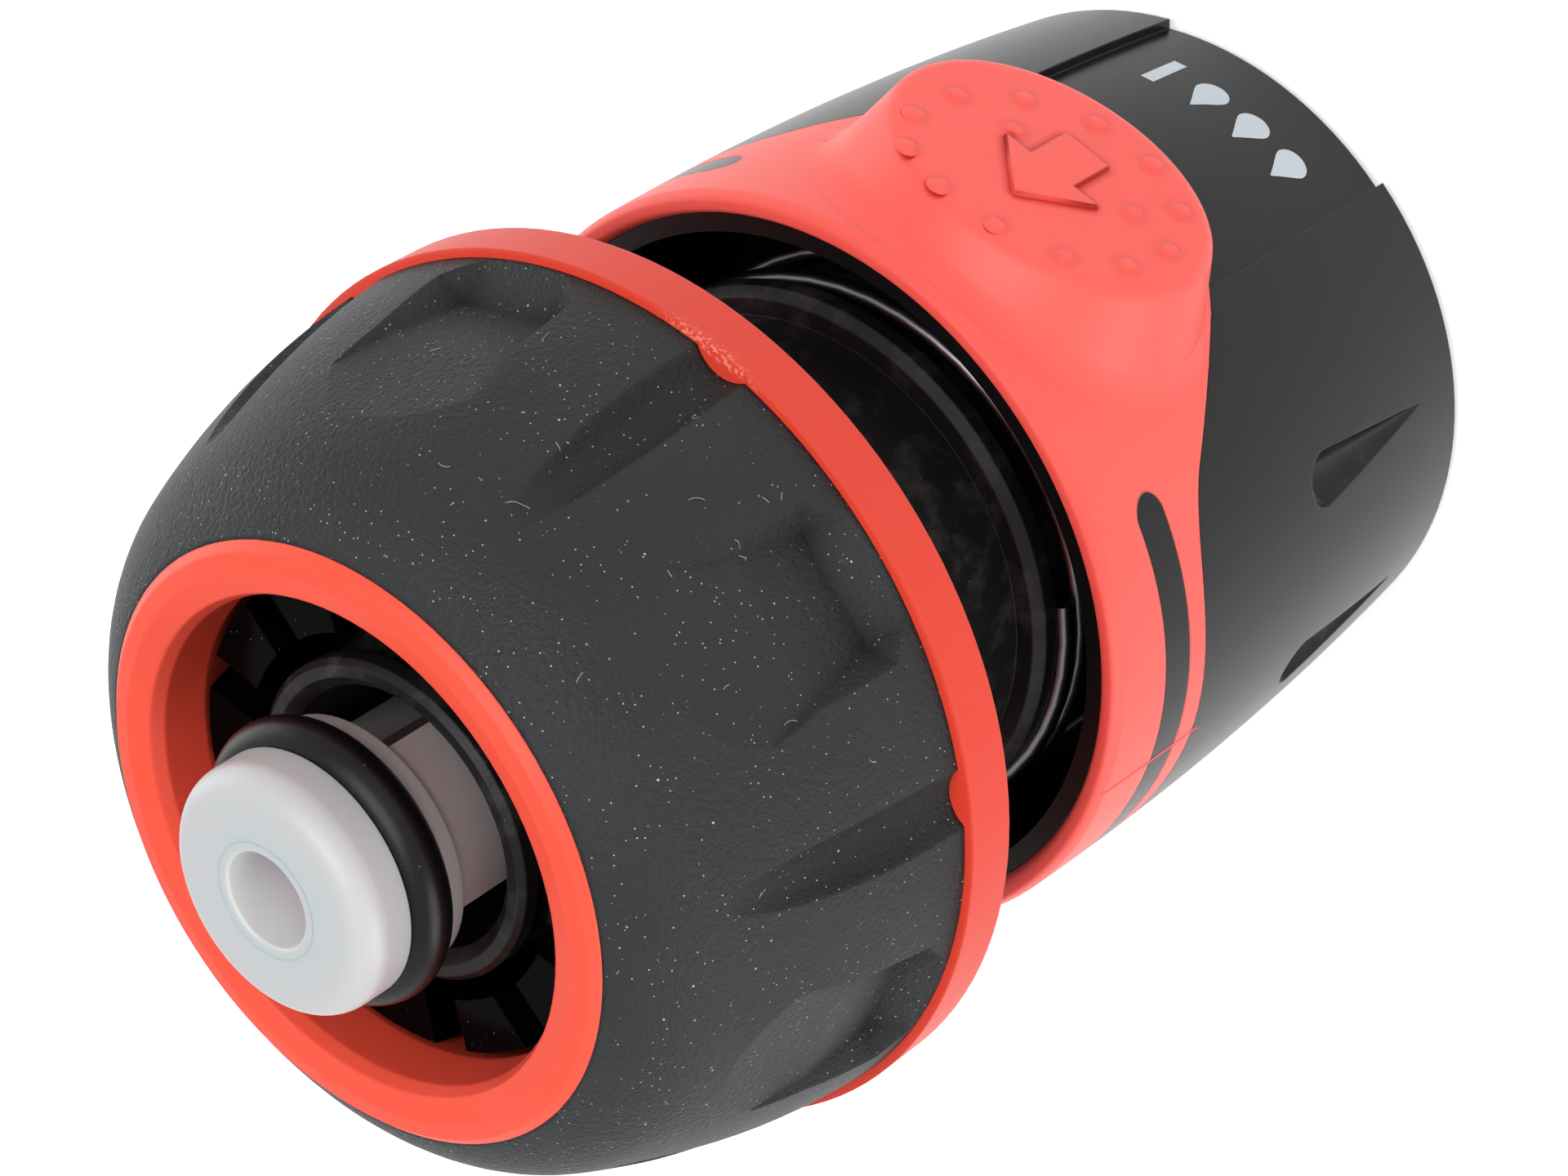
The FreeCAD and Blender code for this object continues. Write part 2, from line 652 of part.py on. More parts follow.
def make_sleeve_shell(band):
    """Hard black shell: spring shelf, jaw cam, two sunk panels, teardrop dents, band seat."""
    body = add_body("shell_blank")
    retainer = "fit.ring_radius + dim.cam_clearance"
    stop = "dim.ring_height + dim.stop_gap"
    guide = "fit.barrel_radius + dim.guide_clearance"
    turned(body, "shell", [
        (retainer, "dim.sleeve_bottom_height"),
        *sleeve_side(),
        ("fit.cavity_radius", "dim.shell_top_height"),
        ("fit.cavity_radius", "fit.shelf_height"),
        (guide, "fit.shelf_height"),
        (guide, "fit.shelf_foot_height"),
        (cam_radius("fit.shelf_foot_height", "dim.cam_clearance"), "fit.shelf_foot_height"),
        (cam_radius(stop, "dim.cam_clearance"), stop),
        (retainer, stop),
    ])
    panel = turned_cut(body, "sunk_panel", [
        ("fit.sleeve_bottom_radius - dim.panel_depth", "dim.sleeve_bottom_height", "dim.sleeve_arc_rise"),
        ("fit.sleeve_top_radius - dim.panel_depth", "dim.shell_top_height"),
        ("fit.sleeve_top_radius + dim.cut_margin", "dim.shell_top_height"),
        ("fit.sleeve_top_radius + dim.cut_margin", "dim.sleeve_bottom_height"),
    ], plane="YZ_Plane", angle="dim.panel_angle")
    polar_copies(body, "sunk_panels", [panel], 2)
    head_radius = "fit.sleeve_top_radius + dim.dent_head_lift"
    tail_radius = "fit.sleeve_bottom_radius + dim.dent_tail_lift"
    tail = (tail_radius, "dim.dent_head_height - dim.dent_length")
    overshoot = "(1 + dim.dent_head_radius / dim.dent_length)"
    head = (
        "%s + (%s - (%s)) * %s" % (tail_radius, head_radius, tail_radius, overshoot),
        "dim.dent_head_height + dim.dent_head_radius",
    )
    side = (
        head_radius + " + dim.dent_head_radius",
        "dim.dent_head_height",
        quarter_bulge("dim.dent_head_radius"),
    )
    dents = []
    for number in range(DENTS_PER_SIDE):
        angle = "dim.dent_angle + %d * dim.dent_step_angle - 90" % number
        dents.append(cut_about_line(body, "dent_%d" % number, [tail, side, head], tail, head, turn=angle))
    polar_copies(body, "dents", dents, 2)
    shell = doc.addObject("Part::Cut", "sleeve_shell")
    shell.Base = body
    shell.Tool = band


def make_sleeve_spring():
    """Wire spring between the flange of the body and the shelf of the sleeve."""
    flange_bottom = "(dim.flange_top_height - dim.flange_thickness)"
    rise = "(%s - fit.shelf_height - dim.wire_diameter - 2 * dim.spring_seat_gap)" % flange_bottom
    helix = doc.addObject("Part::Helix", "spring_line")
    helix.setExpression("Radius", "fit.spring_radius")
    helix.setExpression("Height", rise)
    helix.setExpression("Pitch", rise + " / dim.spring_turns")
    wire = doc.addObject("Part::RegularPolygon", "spring_wire")
    wire.Polygon = WIRE_SIDES
    wire.setExpression("Circumradius", "dim.wire_diameter / 2")
    wire.Placement = FreeCAD.Placement(CENTRE, FreeCAD.Rotation(FreeCAD.Vector(1, 0, 0), 90))
    wire.setExpression("Placement.Base.x", "fit.spring_radius")
    doc.recompute()
    spring = doc.addObject("Part::Sweep", "sleeve_spring")
    spring.Sections = [wire]
    spring.Spine = (helix, ["Edge%d" % (index + 1) for index in range(len(helix.Shape.Edges))])
    spring.Solid = True
    spring.Frenet = True
    spring.setExpression(
        "Placement.Base.z", "fit.shelf_height + dim.spring_seat_gap + dim.wire_diameter / 2"
    )


def nut_seam():
    """The line between the nut's core and its grip, from the flange up to the front ring."""
    return [
        ("fit.nut_barrel_radius", "fit.nut_flange_height"),
        ("fit.nut_shoulder_radius", "fit.nut_front_height - dim.nut_shoulder_depth"),
        ("fit.nut_ring_radius", "fit.nut_front_height - dim.nut_ring_depth"),
    ]


def make_nut_core():
    """Hard red nut: rounded front ring, inner cone for the collet, thread bore, rear flange."""
    body = add_body("nut_core")
    mouth_edge = "fit.nut_front_height - dim.nut_mouth_drop"
    mouth_shoulder_height = "fit.nut_front_height + dim.nut_mouth_shoulder_rise"
    ring_shoulder_height = "fit.nut_front_height + dim.nut_ring_shoulder_rise"
    turned(body, "nut", [
        ("fit.nut_bore + dim.nut_entry_chamfer", "fit.nut_bottom_height"),
        ("dim.nut_flange_radius - dim.nut_flange_bevel", "fit.nut_bottom_height"),
        ("dim.nut_flange_radius", "fit.nut_bottom_height + dim.nut_flange_bevel"),
        ("dim.nut_flange_radius", "fit.nut_flange_height"),
        *nut_seam(),
        ("fit.nut_ring_radius", "fit.nut_front_height"),
        ("fit.nut_ring_radius - dim.nut_ring_shoulder", ring_shoulder_height),
        ("fit.nut_crest_radius", "fit.nut_front_height + dim.nut_crest_rise"),
        ("dim.nut_mouth_radius + dim.nut_mouth_shoulder", mouth_shoulder_height),
        ("dim.nut_mouth_radius", mouth_edge),
        ("dim.nut_mouth_radius", "fit.nut_front_height - dim.nut_throat_depth"),
        ("fit.nut_bore", "fit.nut_front_height - dim.nut_cone_depth"),
        ("fit.nut_bore", "fit.nut_bottom_height + dim.nut_entry_chamfer"),
    ])


def scoop_section(floor, half_width):
    """A finger scoop's section: a flat floor with sides that slope outwards, open at the outside."""
    outside = "dim.grip_back_radius + dim.cut_margin"
    wide = "(%s + dim.scoop_side_slope * (%s - (%s)))" % (half_width, outside, floor)
    return [(floor, "-" + half_width), (outside, "-" + wide), (outside, wide), (floor, half_width)]


def past_back(front, back, reach):
    """A value that runs straight from the groove's front to the flange, carried on to a reach."""
    return "%s + (%s - %s) * %s" % (front, back, front, reach)


def make_nut_grip():
    """Soft black grip on the nut with finger scoops and round-bottomed grooves between them."""
    body = add_body("nut_grip")
    turned(body, "grip", [
        *nut_seam(),
        ("fit.nut_ring_radius", "fit.nut_front_height", "-dim.grip_nose_arc_rise"),
        ("dim.grip_nose_radius", "fit.nut_front_height - dim.grip_nose_depth", "-dim.grip_back_arc_rise"),
        ("dim.grip_back_radius", "fit.nut_flange_height"),
    ])
    sections = []
    for name, depth, floor, half_width in (
        ("front", "dim.scoop_front_depth", "fit.scoop_front_radius", "dim.scoop_front_half_width"),
        ("middle", "dim.scoop_middle_depth", "fit.scoop_floor_radius", "dim.scoop_middle_half_width"),
        ("back", "dim.scoop_back_depth", "fit.scoop_floor_radius", "dim.scoop_back_half_width"),
        ("wall", "dim.scoop_back_depth + dim.scoop_wall_run", "dim.grip_back_radius",
         "dim.scoop_wall_half_width"),
    ):
        height = "fit.nut_front_height - (%s)" % depth
        section = add_sketch(body, "scoop_" + name, "XY_Plane", offset=height)
        draw_outline(section, scoop_section(floor, half_width))
        sections.append(section)
    scoop = body.newObject("PartDesign::SubtractiveLoft", "scoop")
    scoop.Profile = sections[0]
    scoop.Sections = sections[1:]
    scoop.Ruled = True
    polar_copies(body, "scoops", [scoop], "dim.grip_pattern_count")
    front_height = "fit.nut_front_height - dim.groove_front_depth"
    back_height = "fit.nut_flange_height - dim.cut_margin"
    reach = "(1 + dim.cut_margin / (%s - fit.nut_flange_height))" % front_height
    back_floor = past_back("fit.groove_front_radius", "fit.groove_back_radius", reach)
    back_round = past_back("dim.groove_front_round", "dim.groove_back_round", reach)
    front_axis = ("fit.groove_front_radius + dim.groove_front_round", front_height)
    back_axis = (back_floor + " + " + back_round, back_height)
    half_step = "180 / dim.grip_pattern_count"
    groove = cut_about_line(body, "groove", [
        front_axis,
        back_axis,
        (back_floor, back_height),
        ("fit.groove_front_radius", front_height),
    ], front_axis, back_axis, turn=half_step)
    polar_copies(body, "grooves", [groove], "dim.grip_pattern_count")


def make_collet():
    """Clamping collet: a ring with spring fingers that the nut's cone bends onto the hose."""
    body = add_body("collet")
    base = "fit.thread_top_height + dim.collet_gap"
    base_top = base + " + dim.collet_base_height"
    cone_foot = "fit.nut_front_height - dim.nut_cone_depth"
    tip = "fit.nut_front_height - dim.nut_throat_depth"
    turned(body, "collet_ring", [
        ("fit.collet_bore", base),
        ("fit.collet_radius", base),
        ("fit.collet_radius", cone_foot),
        ("dim.nut_mouth_radius - dim.collet_clearance", tip),
        ("fit.finger_tip_radius", tip),
        ("fit.finger_tip_radius", tip + " - dim.finger_tip_land"),
        ("fit.collet_bore", base_top),
    ])
    sketch = add_sketch(body, "finger_slot_outline", "XZ_Plane")
    draw_outline(sketch, rectangle(
        "fit.finger_tip_radius - dim.cut_margin",
        "fit.collet_radius + dim.cut_margin",
        base_top + " + dim.finger_slot_foot",
        tip + " + dim.cut_margin",
    ))
    slot = body.newObject("PartDesign::Pocket", "finger_slot")
    slot.Profile = sketch
    slot.Midplane = True
    slot.setExpression("Length", "dim.finger_slot_width")
    polar_copies(body, "finger_slots", [slot], "dim.finger_count")
    turn_about_axis(body, "dim.collet_turn")


def make_valve_plunger():
    """Water stop plunger: round head, seal neck, guide flange and two hooked legs."""
    body = add_body("valve_plunger")
    head_bottom = "fit.valve_top_height - dim.valve_head_height"
    flange_top = head_bottom + " - dim.seal_section - dim.seal_fit"
    flange_bottom = flange_top + " - dim.valve_flange_height"
    round_start = "fit.valve_top_height - dim.valve_head_round"
    hole_floor = "fit.valve_top_height - dim.valve_hole_depth"
    turned(body, "valve_head", [
        ("0", flange_bottom),
        ("fit.valve_flange_radius", flange_bottom),
        ("fit.valve_flange_radius", flange_top),
        ("fit.valve_neck_radius", flange_top),
        ("fit.valve_neck_radius", head_bottom),
        ("fit.valve_head_radius", head_bottom),
        ("fit.valve_head_radius", round_start, quarter_bulge("dim.valve_head_round")),
        ("fit.valve_head_radius - dim.valve_head_round", "fit.valve_top_height"),
        ("dim.valve_hole_radius", "fit.valve_top_height"),
        ("dim.valve_hole_radius - dim.valve_hole_taper", hole_floor),
        ("0", hole_floor),
    ])
    foot_top = "dim.valve_tube_foot - dim.foot_gap"
    foot_bottom = foot_top + " - dim.foot_height"
    inner = "fit.leg_radius - dim.leg_thickness"
    leg = turned(body, "leg", [
        (inner, foot_bottom),
        ("fit.foot_radius - dim.foot_slope", foot_bottom),
        ("fit.foot_radius", foot_bottom + " + dim.foot_slope"),
        ("fit.foot_radius", foot_top),
        ("fit.leg_radius", foot_top),
        ("fit.leg_radius", flange_bottom),
        (inner, flange_bottom),
    ], angle="dim.leg_angle")
    polar_copies(body, "legs", [leg], 2)
    turn_about_axis(body, "dim.valve_turn")


def make_valve_seal():
    """O-ring on the plunger's neck."""
    seal = doc.addObject("Part::Torus", "valve_seal")
    seal.setExpression("Radius1", "fit.valve_neck_radius + dim.seal_fit + dim.seal_section / 2")
    seal.setExpression("Radius2", "dim.seal_section / 2")
    seal.setExpression(
        "Placement.Base.z",
        "fit.valve_top_height - dim.valve_head_height - dim.seal_fit / 2 - dim.seal_section / 2",
    )


make_connector_body()
make_retaining_ring()
for jaw_number in range(JAW_COUNT):
    make_jaw(jaw_number)
red_band = make_sleeve_band()
make_sleeve_shell(red_band)
make_sleeve_spring()
make_nut_core()
make_nut_grip()
make_collet()
make_valve_plunger()
make_valve_seal()
doc.recompute()

NODES = ["connector_body", "retaining_ring"]
NODES += ["jaw_%d" % (number + 1) for number in range(JAW_COUNT)]
NODES += ["sleeve_shell", "sleeve_band", "sleeve_spring", "nut_core", "nut_grip", "collet"]
NODES += ["valve_plunger", "valve_seal"]

for item in doc.Objects:
    if "Invalid" in item.State or "Error" in item.State:
        raise RuntimeError("%s did not build: %s" % (item.Label, item.State))
for node in NODES:
    shape = doc.getObjectsByLabel(node)[0].Shape
    if shape.isNull() or not shape.isValid():
        raise RuntimeError("%s has no valid shape" % node)
    if len(shape.Solids) != 1:
        raise RuntimeError("%s has %d solids instead of one" % (node, len(shape.Solids)))

os.makedirs("parts", exist_ok=True)
for node in NODES:
    shape = doc.getObjectsByLabel(node)[0].Shape
    shape.exportStep("parts/%s.step" % node)
    print("%-16s volume %8.1f mm3  box %s" % (node, shape.Volume, shape.BoundBox))
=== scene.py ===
"""Looks of the garden hose quick connector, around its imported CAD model.

Blender works in metres; the sizes below are in millimetres and are scaled where they are used.
The connector stands on its coupling end. One thumb pad faces -Y, the other +Y.
"""

import math

import bpy
from mathutils import Matrix, Vector
from mathutils.bvhtree import BVHTree


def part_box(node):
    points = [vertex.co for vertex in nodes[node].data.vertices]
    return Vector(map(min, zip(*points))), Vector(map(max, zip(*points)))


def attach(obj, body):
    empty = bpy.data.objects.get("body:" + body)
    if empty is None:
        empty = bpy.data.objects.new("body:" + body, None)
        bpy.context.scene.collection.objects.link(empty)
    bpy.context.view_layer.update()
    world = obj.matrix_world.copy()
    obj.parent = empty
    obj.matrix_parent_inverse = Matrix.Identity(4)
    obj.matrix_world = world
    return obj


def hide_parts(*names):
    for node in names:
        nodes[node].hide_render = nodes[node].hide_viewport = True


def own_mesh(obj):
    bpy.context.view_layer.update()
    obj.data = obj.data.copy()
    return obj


MM = 0.001

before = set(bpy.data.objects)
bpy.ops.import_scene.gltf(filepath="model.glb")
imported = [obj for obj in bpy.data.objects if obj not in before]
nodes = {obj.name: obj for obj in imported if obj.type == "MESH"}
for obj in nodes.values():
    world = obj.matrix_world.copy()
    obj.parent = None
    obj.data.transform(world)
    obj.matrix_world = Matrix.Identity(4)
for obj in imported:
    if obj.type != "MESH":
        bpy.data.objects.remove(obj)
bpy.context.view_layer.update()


# Materials

# Share of a speck's radius that is full, and how soon a clump of specks is
SPECK_CORE = 0.6
CLUMP_EDGE = 0.08
BEVEL_SAMPLES = 6
HOLLOW_SAMPLES = 8


class Nodes:
    """Short calls for a material's node tree."""

    def __init__(self, name):
        self.material = bpy.data.materials.new(name)
        self.material.use_nodes = True
        self.tree = self.material.node_tree
        self.shader = self.tree.nodes["Principled BSDF"]
        coordinates = self.tree.nodes.new("ShaderNodeTexCoord")
        self.place = coordinates.outputs["Object"]

    def link(self, source, target):
        self.tree.links.new(source, target)

    def set(self, **values):
        for name, value in values.items():
            self.shader.inputs[name.replace("_", " ")].default_value = value

    def noise(self, grain, detail=2.0, roughness=0.5):
        """Soft noise whose features are about one grain across, in millimetres."""
        node = self.tree.nodes.new("ShaderNodeTexNoise")
        node.inputs["Scale"].default_value = 1 / (grain * MM)
        node.inputs["Detail"].default_value = detail
        node.inputs["Roughness"].default_value = roughness
        self.link(self.place, node.inputs["Vector"])
        return node.outputs["Fac"]

    def cells(self, size, feature="F1"):
        """The distance from the middle of cells of one size, in millimetres."""
        node = self.tree.nodes.new("ShaderNodeTexVoronoi")
        node.feature = feature
        node.inputs["Scale"].default_value = 1 / (size * MM)
        self.link(self.place, node.inputs["Vector"])
        return node.outputs["Distance"]

    def ramp(self, source, low, high, low_out=0.0, high_out=1.0):
        node = self.tree.nodes.new("ShaderNodeMapRange")
        node.inputs["From Min"].default_value = low
        node.inputs["From Max"].default_value = high
        node.inputs["To Min"].default_value = low_out
        node.inputs["To Max"].default_value = high_out
        self.link(source, node.inputs["Value"])
        return node.outputs["Result"]

    def fall(self, source, low, high):
        """One up to a low value, nothing from a high one."""
        return self.ramp(source, low, high, 1.0, 0.0)

    def math(self, operation, first, second=0.0):
        node = self.tree.nodes.new("ShaderNodeMath")
        node.operation = operation
        for socket, value in zip(node.inputs, (first, second)):
            if isinstance(value, (int, float)):
                socket.default_value = value
            else:
                self.link(value, socket)
        return node.outputs[0]

    def product(self, *factors):
        result = factors[0]
        for factor in factors[1:]:
            result = self.math("MULTIPLY", result, factor)
        return result

    def mix(self, factor, first, second):
        node = self.tree.nodes.new("ShaderNodeMix")
        node.data_type = "RGBA"
        self.link(factor, node.inputs["Factor"])
        for name, value in (("A", first), ("B", second)):
            socket = next(item for item in node.inputs if item.name == name and item.type == "RGBA")
            if isinstance(value, tuple):
                socket.default_value = value + (1.0,)
            else:
                self.link(value, socket)
        return next(item for item in node.outputs if item.type == "RGBA")

    def color(self, value):
        if isinstance(value, tuple):
            self.shader.inputs["Base Color"].default_value = value + (1.0,)
        else:
            self.link(value, self.shader.inputs["Base Color"])

    def axes(self):
        """The shaded point's coordinates."""
        split = self.tree.nodes.new("ShaderNodeSeparateXYZ")
        self.link(self.place, split.inputs["Vector"])
        return tuple(split.outputs[name] for name in "XYZ")

    def around(self):
        """The radius from the axis, the height and the angle from +X of the shaded point."""
        x, y, z = self.axes()
        squares = self.math("ADD", self.product(x, x), self.product(y, y))
        return self.math("SQRT", squares), z, self.math("ARCTAN2", y, x)

    def near(self, source, middle, reach):
        """One at a value, falling to nothing at a reach from it on either side."""
        away = self.math("ABSOLUTE", self.math("SUBTRACT", source, middle))
        return self.fall(away, 0.0, reach)

    def bump(self, height, depth, strength=1.0, after=None):
        """Relief of a depth in millimetres, laid over other normals."""
        node = self.tree.nodes.new("ShaderNodeBump")
        node.inputs["Distance"].default_value = depth * MM
        node.inputs["Strength"].default_value = strength
        self.link(height, node.inputs["Height"])
        if after:
            self.link(after, node.inputs["Normal"])
        self.link(node.outputs["Normal"], self.shader.inputs["Normal"])

    def soft_edges(self, radius):
        """Normals that round the edges off, by a radius in millimetres."""
        node = self.tree.nodes.new("ShaderNodeBevel")
        node.samples = BEVEL_SAMPLES
        node.inputs["Radius"].default_value = radius * MM
        return node.outputs["Normal"]

    def open_share(self, reach, alone=True):
        """One on open surface, less in hollows narrower than the reach, in millimetres.

        Alone, only the shaded object's own shape makes hollows.
        """
        node = self.tree.nodes.new("ShaderNodeAmbientOcclusion")
        node.samples = HOLLOW_SAMPLES
        node.only_local = alone
        node.inputs["Distance"].default_value = reach * MM
        return node.outputs["AO"]

    def dust(self, spacing, size, clumps, share):
        """Round specks of a size in millimetres, one to each cell of a spacing.

        They show only in clumps, above a share of the clumps' noise.
        """
        edge = size / spacing
        core = SPECK_CORE * size / spacing
        specks = self.fall(self.cells(spacing), core, edge)
        return self.product(specks, self.ramp(self.noise(clumps), share, share + CLUMP_EDGE))


def srgb(red, green, blue):
    """A colour read as screen values from 0 to 255, as the shader wants it."""
    def linear(value):
        share = value / 255
        return share / 12.92 if share <= 0.04045 else ((share + 0.055) / 1.055) ** 2.4
    return linear(red), linear(green), linear(blue)


def dress(material, *names):
    """Give CAD nodes a material in all their slots."""
    for name in names:
        mesh = nodes[name].data
        mesh.materials.clear()
        mesh.materials.append(material)


# Scuffs on the rim of the nut's flange: their place, and how far from it they end
SCUFF_ANGLE = math.radians(-88)
SCUFF_ANGLE_REACH = math.radians(9)
SCUFF_RADIUS = 17.95 * MM
SCUFF_RADIUS_REACH = 0.35 * MM
SCUFF_HEIGHT = 38.4 * MM
SCUFF_HEIGHT_REACH = 0.5 * MM

# Radii between which the nut's lit front red turns into the darker red painted on its flange as
# shade
FRONT_RADIUS = 16.2 * MM
FLANGE_RADIUS = 16.8 * MM


def red_nut_material():
    make = Nodes("hard_red")
    radius, height, angle = make.around()
    lit_front_tone = make.mix(make.noise(4.5, detail=3.0), srgb(240, 77, 55), srgb(246, 87, 65))
    # Painted shade: the flange gets a darker red than the front, standing in for less light falling
    # on it
    tone = make.mix(make.ramp(radius, FRONT_RADIUS, FLANGE_RADIUS), lit_front_tone, srgb(224, 64, 44))
    edge = make.product(
        make.near(angle, SCUFF_ANGLE, SCUFF_ANGLE_REACH),
        make.near(height, SCUFF_HEIGHT, SCUFF_HEIGHT_REACH),
        make.near(radius, SCUFF_RADIUS, SCUFF_RADIUS_REACH),
    )
    scuffs = make.product(edge, make.ramp(make.noise(0.14, detail=3.0), 0.47, 0.6))
    specks = make.dust(spacing=0.9, size=0.035, clumps=3.0, share=0.52)
    worn = make.math("MAXIMUM", make.ramp(scuffs, 0.05, 0.4), specks)
    make.color(make.mix(worn, tone, srgb(242, 134, 114)))
    make.set(Roughness=0.45, Specular_IOR_Level=0.3, Subsurface_Weight=0.1,
             Subsurface_Scale=1.0 * MM, Subsurface_Radius=(1.0, 0.3, 0.15))
    make.bump(make.noise(0.12), depth=0.008, strength=0.7, after=make.soft_edges(0.2))
    return make.material


# Distances from the middle at which a pad's side ends and its top starts
PAD_SIDE_ENDS = 17.3 * MM
PAD_TOP_STARTS = 17.6 * MM


def soft_red_material():
    make = Nodes("soft_red")
    _, across, _ = make.axes()
    tone = make.mix(make.noise(6.0, detail=3.0), srgb(255, 94, 84), srgb(255, 102, 92))
    specks = make.dust(spacing=1.1, size=0.03, clumps=4.0, share=0.55)
    dusty = make.mix(specks, tone, srgb(245, 160, 150))
    # Painted shade: on the pad tops, creases and hollows found by ambient occlusion are darkened to
    # deep red
    on_pad_top = make.ramp(make.math("ABSOLUTE", across), PAD_SIDE_ENDS, PAD_TOP_STARTS)
    crease = make.product(on_pad_top, make.fall(make.open_share(0.45, alone=False), 0.8, 1.0))
    make.color(make.mix(crease, dusty, srgb(205, 42, 36)))
    make.set(Roughness=0.42, Specular_IOR_Level=0.3, Subsurface_Weight=0.12,
             Subsurface_Scale=1.2 * MM, Subsurface_Radius=(1.0, 0.3, 0.2))
    make.bump(make.noise(0.2), depth=0.005, strength=0.6, after=make.soft_edges(0.3))
    return make.material


def grip_material():
    make = Nodes("soft_black")
    rubbed = make.mix(make.noise(5.0, detail=3.0), srgb(43, 45, 46), srgb(50, 52, 53))
    fine = make.dust(spacing=0.3, size=0.035, clumps=2.2, share=0.4)
    coarse = make.dust(spacing=0.9, size=0.055, clumps=3.0, share=0.45)
    hollow = make.fall(make.open_share(2.2), 0.62, 0.95)
    shaded = make.mix(hollow, rubbed, srgb(7, 7, 8))
    make.color(make.mix(make.math("MAXIMUM", fine, coarse), shaded, srgb(190, 190, 184)))
    make.link(make.ramp(hollow, 0.0, 1.0, 0.47, 0.85), make.shader.inputs["Roughness"])
    make.set(Specular_IOR_Level=0.13)
    pebbles = make.cells(0.2, feature="SMOOTH_F1")
    grain = make.math("ADD", pebbles, make.noise(0.11, detail=1.0))
    make.bump(grain, depth=0.055, after=make.soft_edges(0.3))
    return make.material


def shell_material():
    make = Nodes("satin_black")
    smears = make.mix(make.noise(2.6, detail=4.0), srgb(13, 14, 15), srgb(20, 21, 22))
    specks = make.dust(spacing=0.9, size=0.03, clumps=3.0, share=0.55)
    make.color(make.mix(specks, smears, srgb(110, 110, 108)))
    make.set(Roughness=0.28, Specular_IOR_Level=0.19)
    make.bump(make.noise(0.25, detail=3.0), depth=0.004, strength=0.5, after=make.soft_edges(0.12))
    return make.material


def gloss_black_material(name, base, roughness, dusty, gloss):
    make = Nodes(name)
    smudges = make.ramp(make.noise(1.6, detail=5.0, roughness=0.65), 0.5, 0.75, 0.0, dusty)
    specks = make.dust(spacing=0.45, size=0.035, clumps=1.6, share=0.5)
    film = make.mix(smudges, base, srgb(84, 84, 82))
    make.color(make.mix(specks, film, srgb(105, 105, 102)))
    make.set(Roughness=roughness, Specular_IOR_Level=gloss)
    make.bump(make.noise(0.9), depth=0.004, strength=0.4, after=make.soft_edges(0.12))
    return make.material


# The hole of the valve head, and the radii and heights between which painted shade and light change
# the white
LINING_RADIUS = 1.92
HOLE_WALL = (LINING_RADIUS - 0.02) * MM
HOLE_EDGE = (LINING_RADIUS + 0.1) * MM
HOLE_DEEP = 53.2 * MM
HOLE_MOUTH = 55.9 * MM
LEGS_END = 51.0 * MM
HEAD_STARTS = 52.6 * MM


def white_material():
    make = Nodes("white_acetal")
    specks = make.dust(spacing=1.3, size=0.035, clumps=4.0, share=0.5)
    radius, height, _ = make.around()
    # Painted shade: below the head the legs are given a greyer, mauve white
    painted_leg_shade = make.fall(height, LEGS_END, HEAD_STARTS)
    plain = make.mix(painted_leg_shade, srgb(192, 195, 197), srgb(168, 160, 161))
    # Painted light and shade in the hole: a lighter white near its mouth, turning mauve deep inside
    in_hole = make.fall(radius, HOLE_WALL, HOLE_EDGE)
    depth = make.fall(height, HOLE_DEEP, HOLE_MOUTH)
    hole = make.mix(depth, srgb(224, 225, 225), srgb(166, 154, 160))
    make.color(make.mix(specks, make.mix(in_hole, plain, hole), srgb(120, 120, 122)))
    make.set(Roughness=0.36, Specular_IOR_Level=0.35, Subsurface_Weight=0.4,
             Subsurface_Scale=2.0 * MM)
    make.bump(make.noise(0.3), depth=0.004, strength=0.4, after=make.soft_edges(0.04))
    return make.material


def rubber_material():
    make = Nodes("seal_rubber")
    specks = make.dust(spacing=0.6, size=0.035, clumps=1.5, share=0.5)
    make.color(make.mix(specks, srgb(13, 13, 14), srgb(120, 120, 118)))
    make.set(Roughness=0.34, Specular_IOR_Level=0.2)
    make.bump(make.noise(0.35, detail=4.0), depth=0.01, strength=0.5)
    return make.material


def steel_material():
    make = Nodes("spring_steel")
    make.color(make.mix(make.noise(0.8), srgb(112, 113, 117), srgb(128, 129, 132)))
    make.set(Roughness=0.3, Metallic=1.0)
    make.bump(make.noise(0.3), depth=0.003, strength=0.3)
    return make.material


def print_material():
    make = Nodes("print_white")
    make.color(make.mix(make.noise(0.3, detail=3.0), srgb(196, 210, 218), srgb(208, 220, 226)))
    make.set(Roughness=0.5)
    return make.material


def fibre_material():
    make = Nodes("fibre")
    make.color(make.mix(make.noise(0.4), srgb(150, 150, 140), srgb(200, 200, 190)))
    make.set(Roughness=0.8)
    return make.material


soft_red = soft_red_material()
gloss_black = gloss_black_material("gloss_black", srgb(26, 26, 27), roughness=0.36, dusty=0.5,
                                   gloss=0.19)
# Painted shade: the collet's black is darker and less glossy than the body's, for the shade inside
# the nut's mouth
collet_shaded_black = gloss_black_material("collet_shaded_black", srgb(4, 4, 5), roughness=0.16, dusty=0.0,
                                    gloss=0.02)
white_acetal = white_material()
dress(red_nut_material(), "nut_core")
dress(soft_red, "sleeve_band")
dress(grip_material(), "nut_grip")
dress(shell_material(), "sleeve_shell")
dress(gloss_black, "connector_body", "retaining_ring")
dress(collet_shaded_black, "collet")
dress(white_acetal, "valve_plunger", "jaw_1", "jaw_2", "jaw_3", "jaw_4")
dress(rubber_material(), "valve_seal")


# Pieces around the CAD nodes

